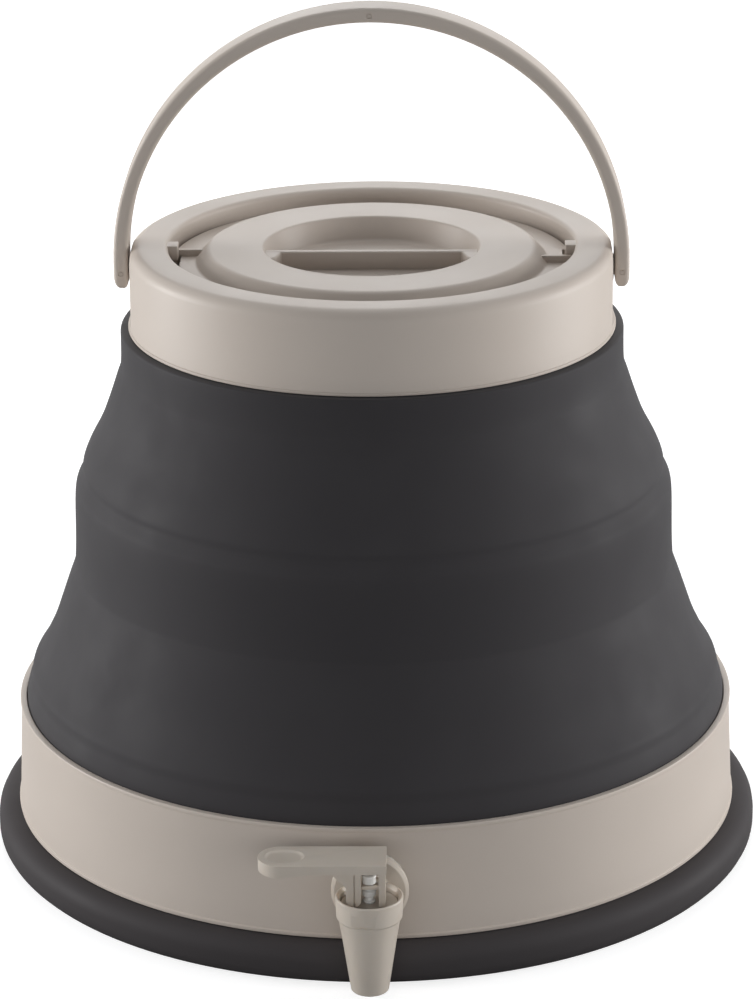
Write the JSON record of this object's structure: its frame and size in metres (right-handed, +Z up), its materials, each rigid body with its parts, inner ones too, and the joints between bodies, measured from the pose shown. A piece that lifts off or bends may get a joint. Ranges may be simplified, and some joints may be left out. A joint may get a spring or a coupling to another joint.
{
  "type": "collapsible water carrier",
  "caption": "Collapsible water carrier: dark pan and light band, folding soft wall, collar with bayonet lid and bail, and a lever tap on the band.",
  "frame": {"origin": "centre of the flat underside of the base pan, on the carrier's upright axis", "axes": "+Z up along the carrier's axis; -Y to the front, where the tap is; +X to the right seen from the front"},
  "size_m": [0.3, 0.3212, 0.3296],
  "materials": {
    "stone_plastic": "satin",
    "tap_plastic": "satin",
    "charcoal_plastic": "satin",
    "soft_wall": "matte",
    "seal_rubber": "matte",
    "clear_plastic": "clear gloss",
    "ring_plastic": "matte"
  },
  "bodies": {
    "base": {"base_pan": "charcoal_plastic", "base_band": "stone_plastic", "base_seal": "seal_rubber", "bellows": "soft_wall", "lower_retaining_ring": "ring_plastic", "tap_body": "tap_plastic", "tap_gland": "tap_plastic", "tap_stem_seal": "seal_rubber", "tap_outer_gasket": "seal_rubber", "tap_inner_gasket": "seal_rubber", "tap_nut": "ring_plastic"},
    "collar": {"top_collar": "stone_plastic", "upper_retaining_ring": "ring_plastic"},
    "bail": {"handle": "stone_plastic"},
    "lid_ring": {"lid_gasket": "seal_rubber"},
    "cover": {"lid": "stone_plastic"},
    "lever": {"tap_lever": "tap_plastic"},
    "valve": {"tap_stem": "clear_plastic", "tap_plug": "seal_rubber"}
  },
  "joints": [
    {"name": "collapse", "type": "slide", "parent": "base", "child": "collar", "axis": [0, 0, 1], "range_m": [-0.135, 0], "deforming": ["bellows"]},
    {"name": "handle_swing", "type": "hinge", "parent": "collar", "child": "bail", "pos_m": [0, 0, 0.228], "axis": [1, 0, 0], "range_deg": [-90, 90]},
    {"name": "lid_lift", "type": "slide", "parent": "collar", "child": "lid_ring", "axis": [0, 0, 1], "range_m": [0, 0.045]},
    {"name": "lid_turn", "type": "hinge", "parent": "lid_ring", "child": "cover", "pos_m": [0, 0, 0.228], "axis": [0, 0, 1], "range_deg": [-60, 0]},
    {"name": "tap_lever_tilt", "type": "hinge", "parent": "base", "child": "lever", "pos_m": [-0.0055, -0.159, 0.0416], "axis": [0, -1, 0], "range_deg": [0, 18], "stiffness_Nm_per_rad": 0.3, "springref_deg": -2.86},
    {"name": "tap_stem_lift", "type": "slide", "parent": "base", "child": "valve", "axis": [0, 0, 1], "range_m": [0, 0.0025]}
  ],
  "couplings": [
    {"joint": "tap_stem_lift", "follows": "tap_lever_tilt", "m_per_rad": 0.0079}
  ]
}
